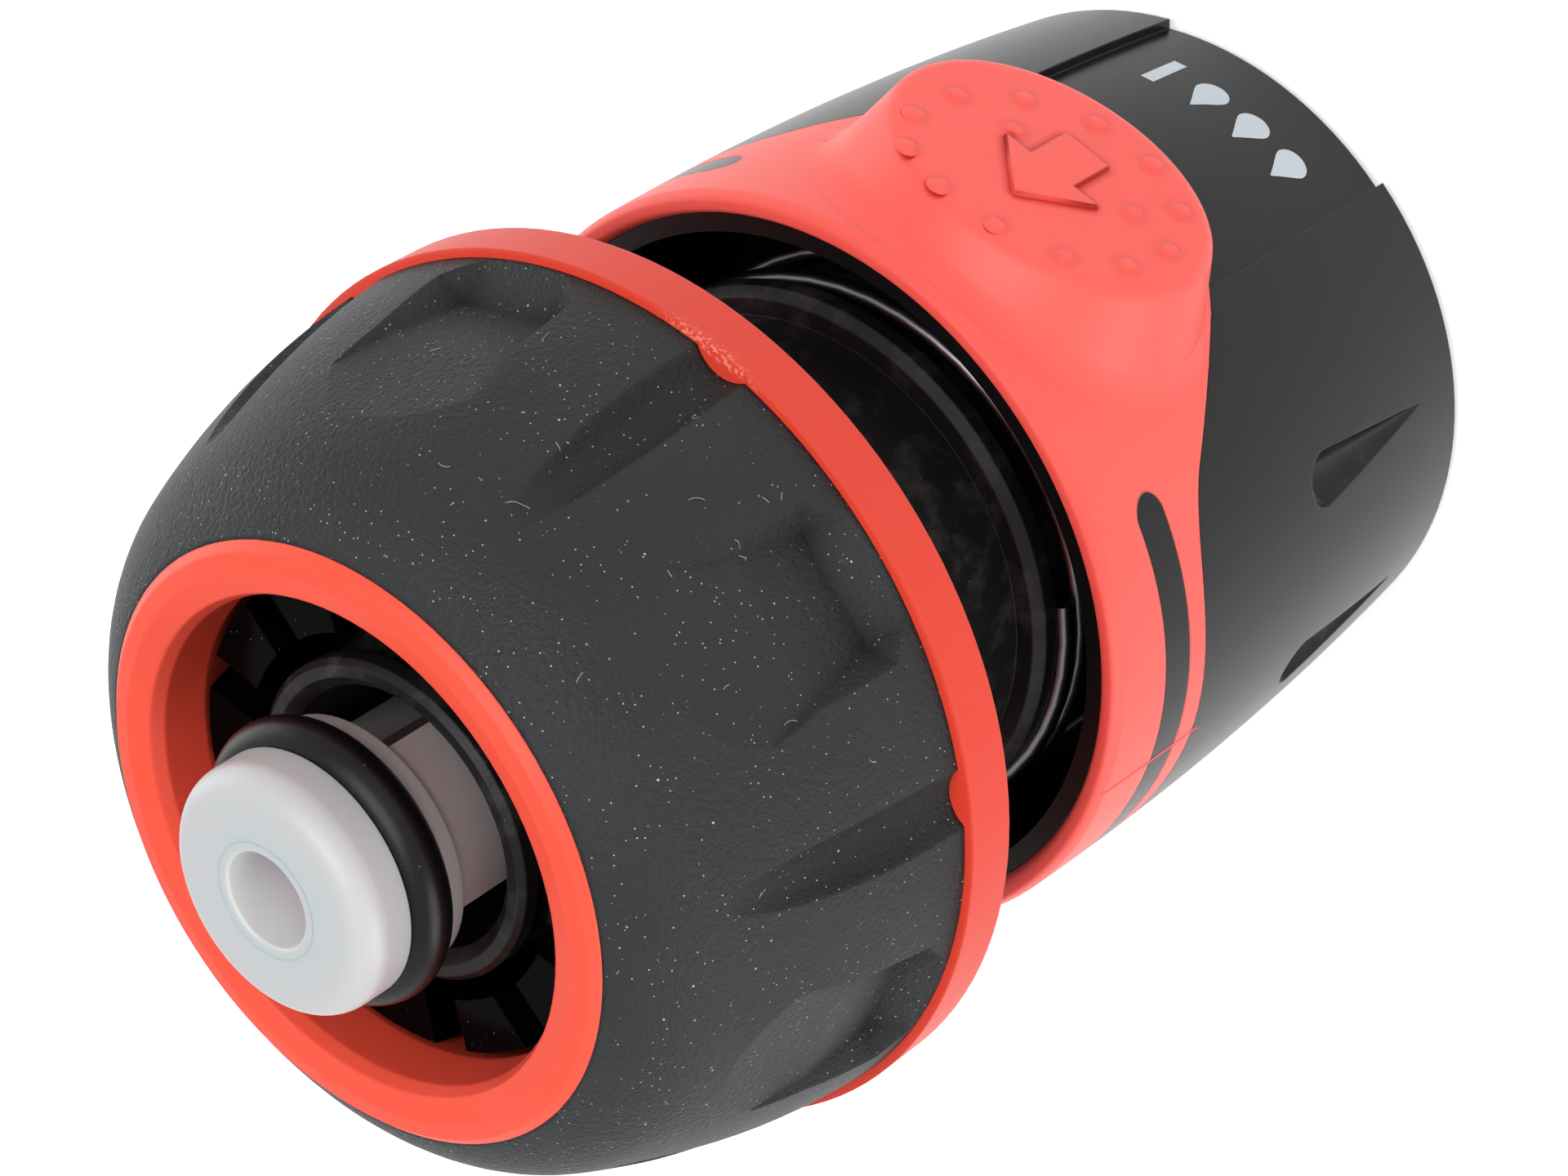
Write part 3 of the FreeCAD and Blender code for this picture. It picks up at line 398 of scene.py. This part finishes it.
class Shape:
    """Corners, in millimetres, and faces of a mesh that is put together from strips."""

    def __init__(self):
        self.corners = []
        self.faces = []

    def add_rows(self, rows, closed):
        """Rows of corners joined by quads; closed rows run round to their first corner."""
        start = len(self.corners)
        width = len(rows[0])
        for row in rows:
            self.corners.extend(row)
        for low in range(len(rows) - 1):
            for column in range(width if closed else width - 1):
                beside = (column + 1) % width
                first = start + low * width
                self.faces.append((first + column, first + beside,
                                   first + width + beside, first + width + column))

    def add_cap(self, row):
        start = len(self.corners)
        self.corners.extend(row)
        self.faces.append(tuple(range(start, start + len(row))))


def add_piece(name, shape, material, body):
    """A smooth mesh that rides on a body."""
    mesh = bpy.data.meshes.new(name)
    mesh.from_pydata([corner * MM for corner in shape.corners], [], shape.faces)
    for polygon in mesh.polygons:
        polygon.use_smooth = True
    mesh.materials.append(material)
    piece = bpy.data.objects.new(name, mesh)
    bpy.context.scene.collection.objects.link(piece)
    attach(piece, body)
    return piece


def polar(radius, angle, height):
    return Vector((radius * math.cos(angle), radius * math.sin(angle), height))


def surface_of(name):
    mesh = nodes[name].data
    return BVHTree.FromPolygons([vertex.co for vertex in mesh.vertices],
                                [polygon.vertices for polygon in mesh.polygons])


OUTSIDE = 30.0


def radius_at(surface, angle, height):
    """How far from the axis a CAD surface lies, or None where a ray from outside misses it."""
    start = polar(OUTSIDE, angle, height) * MM
    hit, _, _, distance = surface.ray_cast(start, -polar(1.0, angle, 0.0))
    return OUTSIDE - distance / MM if hit else None


# Round wire of the sleeve spring, with closed end turns

SPRING_TURNS = 4
SPRING_END = math.radians(-150)
SPRING_STEPS = 48
WIRE_CORNERS = 14
WIRE_RADIUS = 0.45
WIRE_GAP = 0.06

spring_low, spring_high = (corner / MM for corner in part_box("sleeve_spring"))
COIL_SHIFT = Vector((-0.27, 0.0, 0.0))
COIL_RADIUS = spring_high.x - WIRE_RADIUS + COIL_SHIFT.x
SPRING_LENGTH = spring_high.z - spring_low.z
SPRING_FOOT = spring_low.z + WIRE_RADIUS
SPRING_RISE = SPRING_LENGTH - 2 * WIRE_RADIUS
CLOSED_RISE = 2 * WIRE_RADIUS + WIRE_GAP


def spring_height(turn):
    """Height of the wire's centre: closed first and last turns, even turns between them."""
    if turn < 1:
        return SPRING_FOOT + CLOSED_RISE * turn
    if turn > SPRING_TURNS - 1:
        return SPRING_FOOT + SPRING_RISE - CLOSED_RISE * (SPRING_TURNS - turn)
    open_rise = SPRING_RISE - 2 * CLOSED_RISE
    return SPRING_FOOT + CLOSED_RISE + open_rise * (turn - 1) / (SPRING_TURNS - 2)


def add_spring():
    rows = []
    for step in range(SPRING_TURNS * SPRING_STEPS + 1):
        turn = step / SPRING_STEPS
        angle = SPRING_END + 2 * math.pi * turn
        row = []
        for corner in range(WIRE_CORNERS):
            lean = 2 * math.pi * corner / WIRE_CORNERS
            radius = COIL_RADIUS + WIRE_RADIUS * math.cos(lean)
            height = spring_height(turn) + WIRE_RADIUS * math.sin(lean)
            row.append(COIL_SHIFT + polar(radius, angle, height))
        rows.append(row)
    shape = Shape()
    shape.add_rows(rows, closed=True)
    shape.add_cap(rows[0][::-1])
    shape.add_cap(rows[-1])
    spring = add_piece("spring_wire", shape, steel_material(), "body")
    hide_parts("sleeve_spring")
    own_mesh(spring)


add_spring()


# Thread ridge on the body, under the nut

THREAD_RADIUS = 10.97
THREAD_RIDGE = 0.26
THREAD_PITCH = 3.0
THREAD_LOW = 37.2
THREAD_HIGH = 41.7
THREAD_FOOT = 0.62
THREAD_TOP = 0.3
THREAD_STEPS = 72
THREAD_FADE = 0.12


def add_thread():
    turns = (THREAD_HIGH - THREAD_LOW) / THREAD_PITCH
    steps = round(turns * THREAD_STEPS)
    rows = []
    for step in range(steps + 1):
        share = step / steps
        rise = THREAD_RIDGE * min(1.0, share / THREAD_FADE, (1 - share) / THREAD_FADE)
        angle = 2 * math.pi * turns * share
        height = THREAD_LOW + THREAD_PITCH * turns * share
        section = ((0.0, -THREAD_FOOT), (rise, -THREAD_TOP),
                   (rise, THREAD_TOP), (0.0, THREAD_FOOT))
        rows.append([polar(THREAD_RADIUS + out, angle, height + up) for out, up in section])
    shape = Shape()
    shape.add_rows(rows, closed=False)
    add_piece("thread_ridge", shape, gloss_black, "body")


add_thread()


# Thumb pads: soft foot, finger bumps and a plain arrow

# A pad's side slopes from an oval at its top to a larger oval at its foot
PAD_DISTANCE = 17.9
PAD_HEIGHT = 18.5
PAD_HALF_WIDTH = 7.05
PAD_HALF_LENGTH = 5.5
PAD_FOOT_DISTANCE = 12.9
PAD_FOOT_HEIGHT = 19.35
PAD_FOOT_HALF_WIDTH = 8.7
PAD_FOOT_HALF_LENGTH = 7.65
CREASE_HALVINGS = 24

FOOT_STEPS = 180
FOOT_ROWS = 8
FOOT_UP = 0.75
FOOT_UP_SHARE = 0.6
FOOT_OUT = 0.9
FOOT_OUT_STEP = 0.05
FOOT_LIFT = 0.006

# Angles to either side at which no pad stands on the band
CLEAR_RIGHT = math.radians(30)
CLEAR_LEFT = math.radians(150)
ROUND_TOLERANCE = 0.05

# Places of the bumps across the pad and along it, from its middle
BUMPS = (
    (5.15, 2.65), (5.0, 0.1), (3.4, -2.3), (0.85, -3.85), (-1.95, -4.0),
    (-4.3, -2.8), (-5.5, -0.45), (-5.15, 1.8), (-3.45, 3.7), (-0.8, 4.75),
    (1.9, 5.0), (4.05, 4.4), (2.4, -0.4), (-3.35, -0.9),
)
BUMP_RADIUS = 0.53
BUMP_RISE = 0.195
BUMP_FLAT = 0.25
BUMP_RINGS = 8
BUMP_CORNERS = 24

ARROW_MIDDLE = 0.3
ARROW_LENGTH = 4.9
ARROW_HEAD_LENGTH = 2.5
ARROW_HEAD_HALF_WIDTH = 2.45
ARROW_STEM_HALF_WIDTH = 1.15
ARROW_RISE = 0.195
ARROW_TOP_SHARE = 0.96

band = surface_of("sleeve_band")
shell = surface_of("sleeve_shell")


def on_pad(side, across, along, out):
    """A point of a pad: across it, along the object's axis, and out from that axis."""
    return Vector((across * side, -out * side, along))


def pad_side_point(side, turn, depth):
    """A point of a pad's sloping side, from depth 0 at its top to depth 1 at its foot."""
    half_width = PAD_HALF_WIDTH + (PAD_FOOT_HALF_WIDTH - PAD_HALF_WIDTH) * depth
    half_length = PAD_HALF_LENGTH + (PAD_FOOT_HALF_LENGTH - PAD_HALF_LENGTH) * depth
    height = PAD_HEIGHT + (PAD_FOOT_HEIGHT - PAD_HEIGHT) * depth
    out = PAD_DISTANCE + (PAD_FOOT_DISTANCE - PAD_DISTANCE) * depth
    return on_pad(side, half_width * math.cos(turn), height + half_length * math.sin(turn), out)


def sleeve_radius(angle, height):
    """Outside radius of the sleeve: of its band, or of its shell where the band ends."""
    return radius_at(band, angle, height) or radius_at(shell, angle, height)


def round_radius(point):
    """Outside radius of the sleeve's round at a point's height, away from the pads."""
    angle = CLEAR_RIGHT if point.x > 0 else CLEAR_LEFT
    return sleeve_radius(angle, point.z)


def crease_depth(side, turn):
    """The depth at which the pad's side meets the round of the sleeve."""
    low, high = 0.0, 1.0
    for _ in range(CREASE_HALVINGS):
        middle = (low + high) / 2
        point = pad_side_point(side, turn, middle)
        if math.hypot(point.x, point.y) > round_radius(point):
            low = middle
        else:
            high = middle
    return low


def foot_row(side, turn):
    """Corners of the soft foot at one place round a pad, from its side down to the band."""
    depth = crease_depth(side, turn)
    crease = pad_side_point(side, turn, depth)
    slope = pad_side_point(side, turn, 0.0) - crease
    upper = crease + slope.normalized() * min(FOOT_UP, slope.length * FOOT_UP_SHARE)
    away = Vector((math.cos(turn) * side / PAD_FOOT_HALF_WIDTH, 0,
                   math.sin(turn) / PAD_FOOT_HALF_LENGTH))
    away.normalize()
    reach = FOOT_OUT
    while reach > FOOT_OUT_STEP:
        flat = crease + away * reach
        angle = math.atan2(flat.y, flat.x)
        radius = radius_at(band, angle, flat.z)
        if radius and abs(radius - round_radius(flat)) < ROUND_TOLERANCE:
            break
        reach -= FOOT_OUT_STEP
    lower = polar(round_radius(flat), angle, flat.z)
    row = []
    for step in range(FOOT_ROWS + 1):
        share = step / FOOT_ROWS
        row.append(upper * (1 - share) ** 2 + crease * 2 * share * (1 - share) + lower * share ** 2)
    return row


def add_foot(side, name):
    rows = [foot_row(side, 2 * math.pi * step / FOOT_STEPS) for step in range(FOOT_STEPS)]
    foot = Shape()
    foot.add_rows([list(ring) for ring in zip(*rows)], closed=True)
    foot.corners = [corner + Vector((corner.x, corner.y, 0)).normalized() * FOOT_LIFT
                    for corner in foot.corners]
    add_piece("pad_foot_" + name, foot, soft_red, "sleeve")


def bump_ring(side, across, along, share):
    """Corners of a bump at a share of its radius; its top is flat up to the share BUMP_FLAT."""
    slope = max(0.0, share - BUMP_FLAT) / (1 - BUMP_FLAT)
    rise = BUMP_RISE * (0.5 + 0.5 * math.cos(math.pi * slope))
    ring = []
    for corner in range(BUMP_CORNERS):
        turn = 2 * math.pi * corner / BUMP_CORNERS
        ring.append(on_pad(side, across + BUMP_RADIUS * share * math.cos(turn),
                           PAD_HEIGHT + along + BUMP_RADIUS * share * math.sin(turn),
                           PAD_DISTANCE + rise))
    return ring


def add_bumps(side, name):
    bumps = Shape()
    for across, along in BUMPS:
        rings = [bump_ring(side, across, along, 1 - ring / BUMP_RINGS)
                 for ring in range(BUMP_RINGS)]
        bumps.add_rows(rings, closed=True)
        bumps.add_cap(rings[-1])
    add_piece("pad_bumps_" + name, bumps, soft_red, "sleeve")


def add_arrow(side, name):
    tip = ARROW_LENGTH / 2
    neck = tip - ARROW_HEAD_LENGTH
    outline = ((0.0, tip), (-ARROW_HEAD_HALF_WIDTH, neck), (-ARROW_STEM_HALF_WIDTH, neck),
               (-ARROW_STEM_HALF_WIDTH, -tip), (ARROW_STEM_HALF_WIDTH, -tip),
               (ARROW_STEM_HALF_WIDTH, neck), (ARROW_HEAD_HALF_WIDTH, neck))
    middle = PAD_HEIGHT + ARROW_MIDDLE
    lines = []
    for share, rise in ((1.0, 0.0), (ARROW_TOP_SHARE, ARROW_RISE)):
        lines.append([on_pad(side, across * share, middle + along * share, PAD_DISTANCE + rise)
                      for across, along in outline])
    arrow = Shape()
    arrow.add_rows(lines, closed=True)
    arrow.add_cap(lines[-1])
    add_piece("pad_arrow_" + name, arrow, soft_red, "sleeve")


# Side 1 faces -Y, side -1 faces +Y
for pad_side, pad_name in ((1, "front"), (-1, "rear")):
    add_foot(pad_side, pad_name)
    add_bumps(pad_side, pad_name)
    add_arrow(pad_side, pad_name)


# Lining that narrows the hole in the valve head

LINING_FIT = 2.36
LINING_SINK = 0.002
LINING_FLOOR = 52.9
LINING_ROUND = 0.16
LINING_TAPER = 0.15
LINING_CORNERS = 96
LINING_ROUND_STEPS = 6


def add_lining():
    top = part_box("valve_plunger")[1].z / MM - LINING_SINK
    profile = [(LINING_FIT, top)]
    for step in range(LINING_ROUND_STEPS + 1):
        lean = math.pi / 2 * step / LINING_ROUND_STEPS
        profile.append((LINING_RADIUS + LINING_ROUND * (1 - math.sin(lean)),
                        top - LINING_ROUND * (1 - math.cos(lean))))
    profile.append((LINING_RADIUS - LINING_TAPER, LINING_FLOOR))
    profile.append((LINING_RADIUS - LINING_TAPER - LINING_ROUND, LINING_FLOOR))
    rows = []
    for radius, height in profile:
        rows.append([polar(radius, 2 * math.pi * corner / LINING_CORNERS, height)
                     for corner in range(LINING_CORNERS)])
    shape = Shape()
    shape.add_rows(rows, closed=True)
    shape.add_cap(rows[-1])
    add_piece("valve_hole_lining", shape, white_acetal, "valve")


add_lining()


# Print on the sleeve below the front pad: drops held back by a bar

PRINT_HEIGHT = 4.75
PRINT_RADIUS = 15.2
PRINT_LIFT = 0.012
PRINT_SPACING = 2.3
DROP_PLACES = (-1.5, -0.5, 0.5)
DROP_RADIUS = 0.78
DROP_TIP = 1.65
DROP_DOWN = 0.35
DROP_PINCH = 0.72
DROP_POINTEDNESS = 2.2
DROP_CORNERS = 32
DROP_RINGS = 4
BAR_PLACE = 1.5
BAR_HALF_WIDTH = 0.33
BAR_HALF_HEIGHT = 1.25
BAR_STEPS = 8


def on_shell(across, up):
    """A point just outside the shell, by its place across and up from the print's middle."""
    height = PRINT_HEIGHT + up
    angle = -math.pi / 2 + across / PRINT_RADIUS
    return polar(radius_at(shell, angle, height) + PRINT_LIFT, angle, height)


def drop_line(middle, size):
    """A water drop's outline round a middle: a round foot that rises to a point."""
    line = []
    for corner in range(DROP_CORNERS):
        turn = 2 * math.pi * corner / DROP_CORNERS
        rise = math.cos(turn)
        pinch = max(0.0, rise) ** DROP_POINTEDNESS
        across = middle + size * DROP_RADIUS * math.sin(turn) * (1 - DROP_PINCH * pinch)
        up = size * (DROP_RADIUS * rise + (DROP_TIP - DROP_RADIUS) * pinch) - DROP_DOWN
        line.append((across, up))
    return line


def add_print():
    shape = Shape()
    for place in DROP_PLACES:
        rings = []
        for ring in range(DROP_RINGS):
            line = drop_line(place * PRINT_SPACING, 1 - ring / DROP_RINGS)
            rings.append([on_shell(across, up) for across, up in line])
        shape.add_rows(rings, closed=True)
        shape.add_cap(rings[-1])
    middle = BAR_PLACE * PRINT_SPACING
    rows = []
    for step in range(BAR_STEPS + 1):
        up = BAR_HALF_HEIGHT * (2 * step / BAR_STEPS - 1)
        rows.append([on_shell(middle + side * BAR_HALF_WIDTH, up) for side in (-1, 1)])
    shape.add_rows(rows, closed=False)
    add_piece("sleeve_print", shape, print_material(), "sleeve")


add_print()


# Mould seams that run up the band, one at either side

SEAM_ANGLES = (-175, 5)
SEAM_LOW = 19.9
SEAM_HIGH = 26.2
SEAM_STEPS = 30
SEAM_RISE = 0.05
SEAM_SINK = 0.02
SEAM_HALF_WIDTH = 0.07
SEAM_RADIUS = 16.0


def add_seams():
    shape = Shape()
    for degrees in SEAM_ANGLES:
        rows = []
        for step in range(SEAM_STEPS + 1):
            height = SEAM_LOW + (SEAM_HIGH - SEAM_LOW) * step / SEAM_STEPS
            row = []
            for across, rise in ((-1, -SEAM_SINK), (0, SEAM_RISE), (1, -SEAM_SINK)):
                angle = math.radians(degrees) + across * SEAM_HALF_WIDTH / SEAM_RADIUS
                row.append(polar(sleeve_radius(angle, height) + rise, angle, height))
            rows.append(row)
        shape.add_rows(rows, closed=False)
    add_piece("band_seam", shape, soft_red, "sleeve")


add_seams()


# Loose fibres on the grip, by height, angle, length, heading and bend

FIBRES = (
    (41.6, -72.5, 0.45, 95, 10), (45.3, -85.5, 0.35, 150, 30), (40.6, -93.2, 0.5, 70, 150),
    (43.0, -102.7, 0.6, 30, 60), (42.9, -109.8, 0.4, 15, 20), (42.7, -111.0, 0.35, 60, -20),
    (41.1, -107.2, 0.3, 0, 30), (40.4, -107.0, 0.3, 130, 10), (49.9, -111.8, 0.35, 100, 50),
    (47.6, -89.8, 0.9, 20, 40), (45.7, -107.1, 0.3, 170, 15), (44.2, -131.0, 0.55, 45, 80),
    (46.8, -150.0, 0.4, 110, 25), (41.9, -140.0, 0.35, 75, -60), (48.3, -76.0, 0.5, 160, 70),
    (43.4, -60.0, 0.4, 35, 30), (45.8, -123.0, 0.3, 80, 40), (42.2, 20.0, 0.5, 60, 50),
    (46.2, 80.0, 0.6, 20, 80), (44.0, 140.0, 0.45, 130, -40),
)
FIBRE_STEPS = 8
FIBRE_RADIUS = 0.011
FIBRE_CORNERS = 5
GRIP_RADIUS = 17.0


def add_fibres():
    grip = surface_of("nut_grip")
    shape = Shape()
    for height, degrees, length, heading, bend in FIBRES:
        angle = math.radians(degrees)
        direction = math.radians(heading)
        line = []
        for _ in range(FIBRE_STEPS + 1):
            radius = (radius_at(grip, angle, height) or GRIP_RADIUS) + FIBRE_RADIUS
            line.append(polar(radius, angle, height))
            height += length / FIBRE_STEPS * math.sin(direction)
            angle += length / FIBRE_STEPS * math.cos(direction) / radius
            direction += math.radians(bend) / FIBRE_STEPS
        rows = []
        for step, point in enumerate(line):
            ahead = line[min(step + 1, FIBRE_STEPS)] - line[max(step - 1, 0)]
            out = Vector((point.x, point.y, 0)).normalized()
            beside = ahead.cross(out).normalized()
            row = []
            for corner in range(FIBRE_CORNERS):
                lean = 2 * math.pi * corner / FIBRE_CORNERS
                row.append(point + (out * math.sin(lean) + beside * math.cos(lean)) * FIBRE_RADIUS)
            rows.append(row)
        shape.add_rows(rows, closed=True)
    add_piece("grip_fibres", shape, fibre_material(), "nut")


add_fibres()


# Floor, light and camera

FLOOR_HALF = 1.5
FLOOR_WHITE = 0.86
FLOOR_GLOW = 0.55
WORLD_LIGHT = 0.36
CAMERA_PLACE = Vector((-54.32, -116.50, 141.03)) * MM
CAMERA_AIM = Vector((-0.574, -0.083, 27.643)) * MM
CAMERA_ROLL = math.radians(-122.43)
LENS = 98.6
SENSOR = 36.0
CLIP_START = 0.01
MIDDLE = Vector((0, 0, 28)) * MM
LAMP_DISTANCE = 0.5


def aim(obj, place, target, roll=0.0):
    """Put a camera or lamp at a place, looking at a target, turned about its line of sight."""
    look = (target - place).normalized()
    turn = look.to_track_quat("-Z", "Y").to_matrix().to_4x4()
    obj.matrix_world = Matrix.Translation(place) @ turn @ Matrix.Rotation(roll, 4, "Z")


def background_rays(tree):
    """One for rays that show the background: the camera's, mirrored ones and those in glass."""
    rays = tree.nodes.new("ShaderNodeLightPath").outputs
    seen = rays["Is Camera Ray"]
    for kind in ("Is Glossy Ray", "Is Transmission Ray"):
        either = tree.nodes.new("ShaderNodeMath")
        either.operation = "MAXIMUM"
        tree.links.new(seen, either.inputs[0])
        tree.links.new(rays[kind], either.inputs[1])
        seen = either.outputs[0]
    return seen


def add_floor():
    mesh = bpy.data.meshes.new("floor")
    corners = [(x * FLOOR_HALF, y * FLOOR_HALF, 0) for x, y in ((-1, -1), (1, -1), (1, 1), (-1, 1))]
    mesh.from_pydata(corners, [], [(0, 1, 2, 3)])
    floor = bpy.data.objects.new("floor", mesh)
    bpy.context.scene.collection.objects.link(floor)
    make = Nodes("floor_white")
    make.color((FLOOR_WHITE,) * 3)
    make.set(Roughness=0.9, Emission_Color=(1, 1, 1, 1))
    glow = make.product(background_rays(make.tree), FLOOR_GLOW)
    make.link(glow, make.shader.inputs["Emission Strength"])
    mesh.materials.append(make.material)


def add_lamp(name, azimuth, elevation, size, power):
    """A square soft lamp that looks at the object from an azimuth and elevation in degrees."""
    lamp = bpy.data.lights.new(name, "AREA")
    lamp.shape = "SQUARE"
    lamp.size = size
    lamp.energy = power
    obj = bpy.data.objects.new(name, lamp)
    bpy.context.scene.collection.objects.link(obj)
    turn, rise = math.radians(azimuth), math.radians(elevation)
    direction = polar(math.cos(rise), turn, math.sin(rise))
    aim(obj, MIDDLE + direction * LAMP_DISTANCE, MIDDLE)


def add_camera():
    camera = bpy.data.cameras.new("camera")
    camera.lens = LENS
    camera.sensor_width = SENSOR
    camera.clip_start = CLIP_START
    obj = bpy.data.objects.new("camera", camera)
    bpy.context.scene.collection.objects.link(obj)
    aim(obj, CAMERA_PLACE, CAMERA_AIM, CAMERA_ROLL)
    bpy.context.scene.camera = obj


def add_world():
    """White where it is seen, a plain light on the object."""
    world = bpy.data.worlds.new("studio")
    world.use_nodes = True
    tree = world.node_tree
    background = tree.nodes["Background"]
    background.inputs["Color"].default_value = (1, 1, 1, 1)
    strength = tree.nodes.new("ShaderNodeMapRange")
    strength.inputs["To Min"].default_value = WORLD_LIGHT
    strength.inputs["To Max"].default_value = 1.0
    tree.links.new(background_rays(tree), strength.inputs["Value"])
    tree.links.new(strength.outputs["Result"], background.inputs["Strength"])
    bpy.context.scene.world = world


add_floor()
add_world()
add_camera()
add_lamp("top", azimuth=-95, elevation=69, size=0.35, power=1.85)
add_lamp("key", azimuth=172, elevation=2, size=0.4, power=2.0)
add_lamp("fill", azimuth=15, elevation=4, size=0.4, power=0.85)
add_lamp("front", azimuth=-100, elevation=25, size=0.4, power=0.25)

bpy.context.scene.view_settings.view_transform = "Standard"
